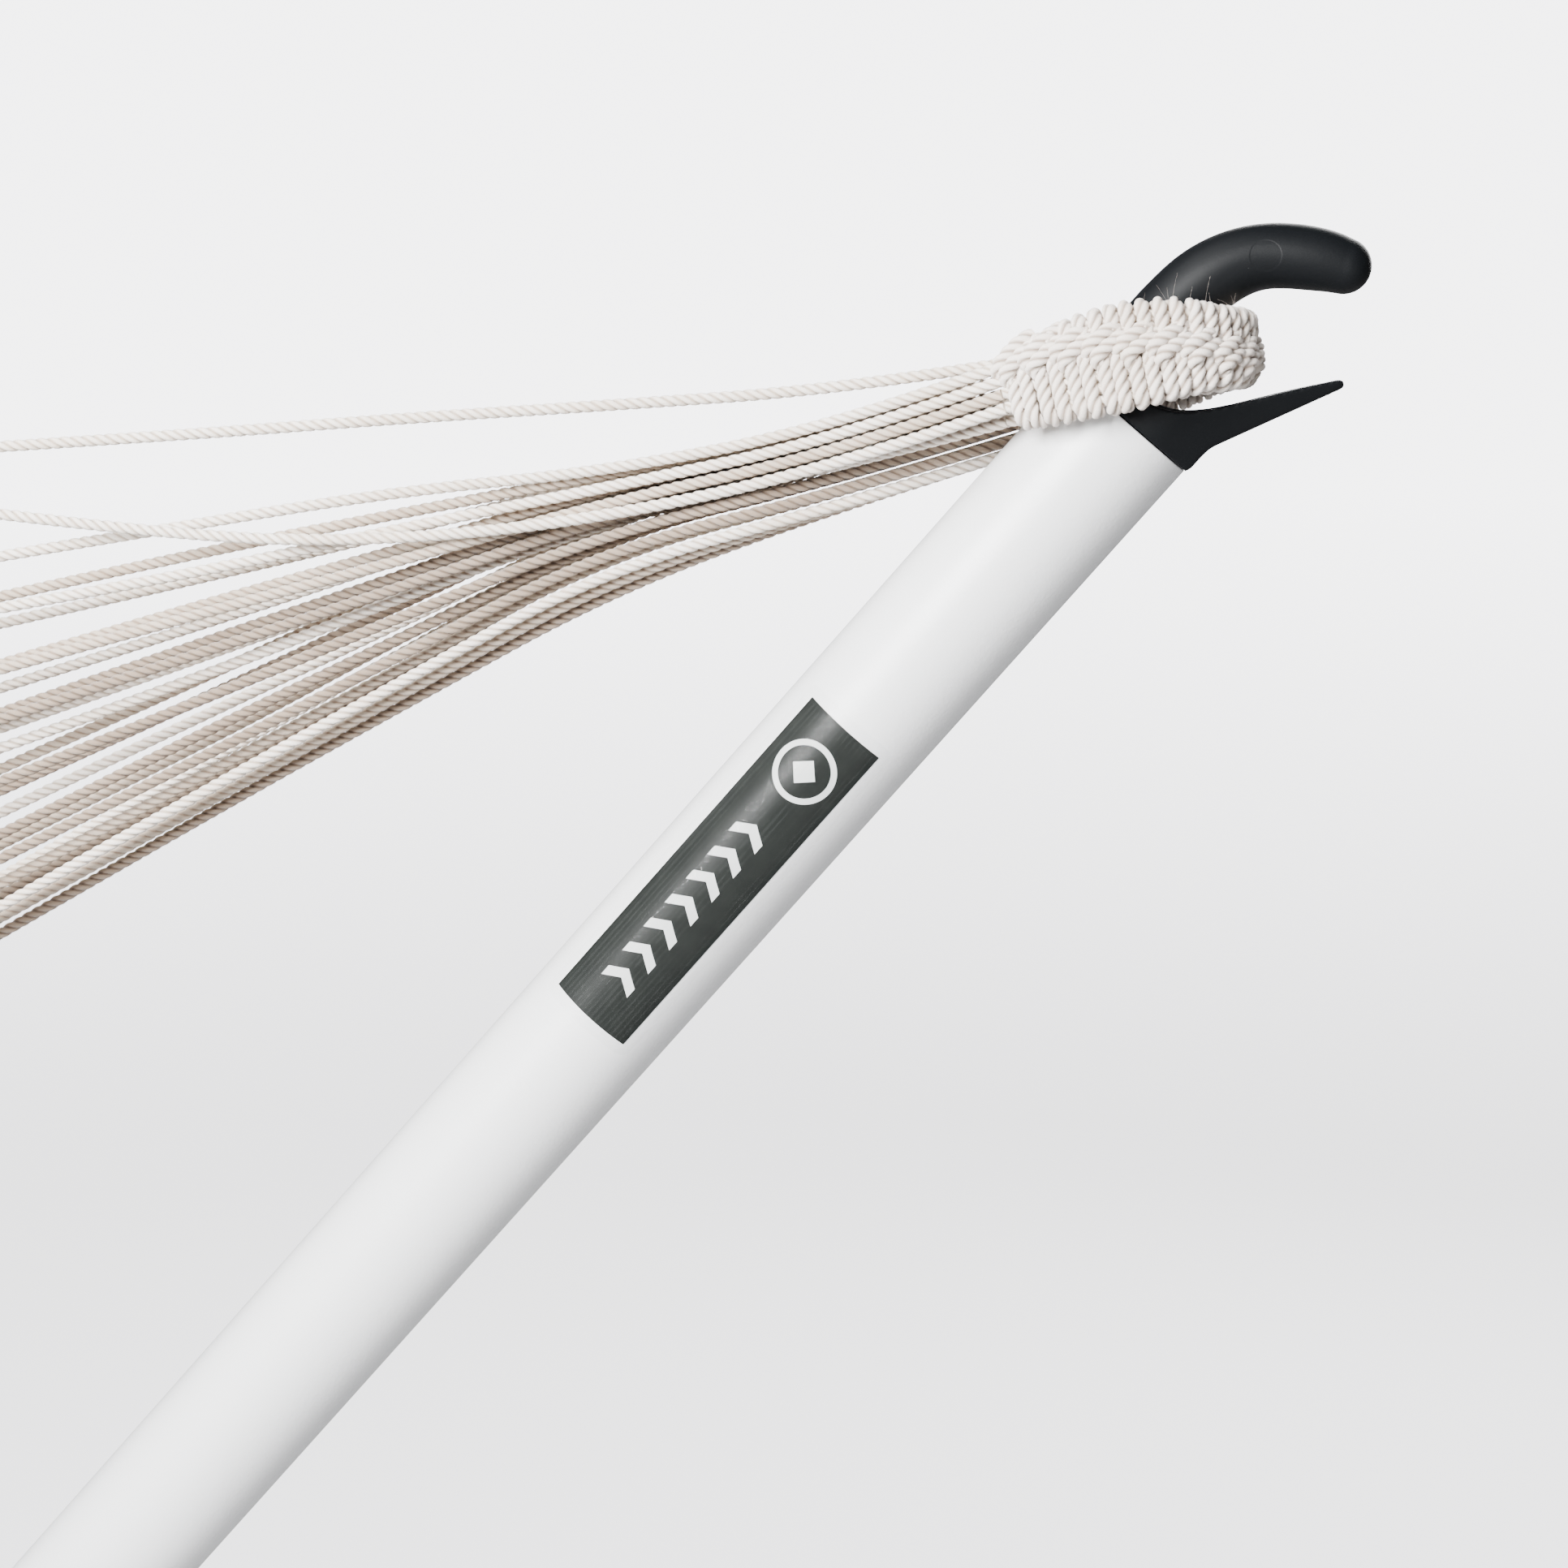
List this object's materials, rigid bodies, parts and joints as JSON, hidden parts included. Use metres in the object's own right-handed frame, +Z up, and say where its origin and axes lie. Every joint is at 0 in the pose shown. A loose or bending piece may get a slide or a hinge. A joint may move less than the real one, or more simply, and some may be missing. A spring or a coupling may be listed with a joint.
{
  "type": "hammock stand arm",
  "caption": "Upper arm of a hammock stand: slanted steel tube with a moulded hook on its end and a hammock's hitched eye and suspension cords hung on it.",
  "frame": {"origin": "centre of the tube's open lower mouth, on the tube's axis", "axes": "+Z up; the tube leans in the XZ plane and rises towards +X; the cords leave the hook towards -X"},
  "size_m": [0.5089, 0.0733, 0.5468],
  "materials": {
    "tube_paint": "white powder coat, fine orange peel",
    "hook_plastic": "satin black glass-filled nylon",
    "bare_steel": "bare steel bar",
    "screw_steel": "zinc plated",
    "label_film": "clear gloss film",
    "label_ink": "dark print under film",
    "label_light": "light print under film",
    "cotton": "three-strand natural cotton",
    "braid_cotton": "hitched two-ply natural cotton"
  },
  "bodies": {
    "arm": {"arm_tube": "tube_paint", "hook_body": "hook_plastic", "hook_core": "bare_steel", "cap_screw": "screw_steel", "label_film": "label_film", "label_print": "label_ink", "label_motif": "label_light"},
    "eye": {"eye_core": "cotton", "eye_hitching": "braid_cotton", "cord_01": "cotton", "cord_02": "cotton", "cord_03": "cotton", "cord_04": "cotton", "cord_05": "cotton", "cord_06": "cotton", "cord_07": "cotton", "cord_08": "cotton", "cord_09": "cotton", "cord_10": "cotton", "cord_11": "cotton", "cord_12": "cotton", "cord_13": "cotton", "cord_14": "cotton", "cord_15": "cotton", "cord_16": "cotton", "cord_17": "cotton", "cord_18": "cotton", "cord_19": "cotton", "cord_20": "cotton", "cord_21": "cotton", "cord_22": "cotton", "cord_23": "cotton", "cord_24": "cotton", "cord_25": "cotton", "cord_26": "cotton", "end_knots": "cotton"}
  },
  "joints": [
    {"name": "eye_swing", "type": "hinge", "parent": "arm", "child": "eye", "pos_m": [0.4092, 0, 0.46578], "axis": [0.66, 0, 0.7513], "range_deg": [-9, 9]}
  ]
}
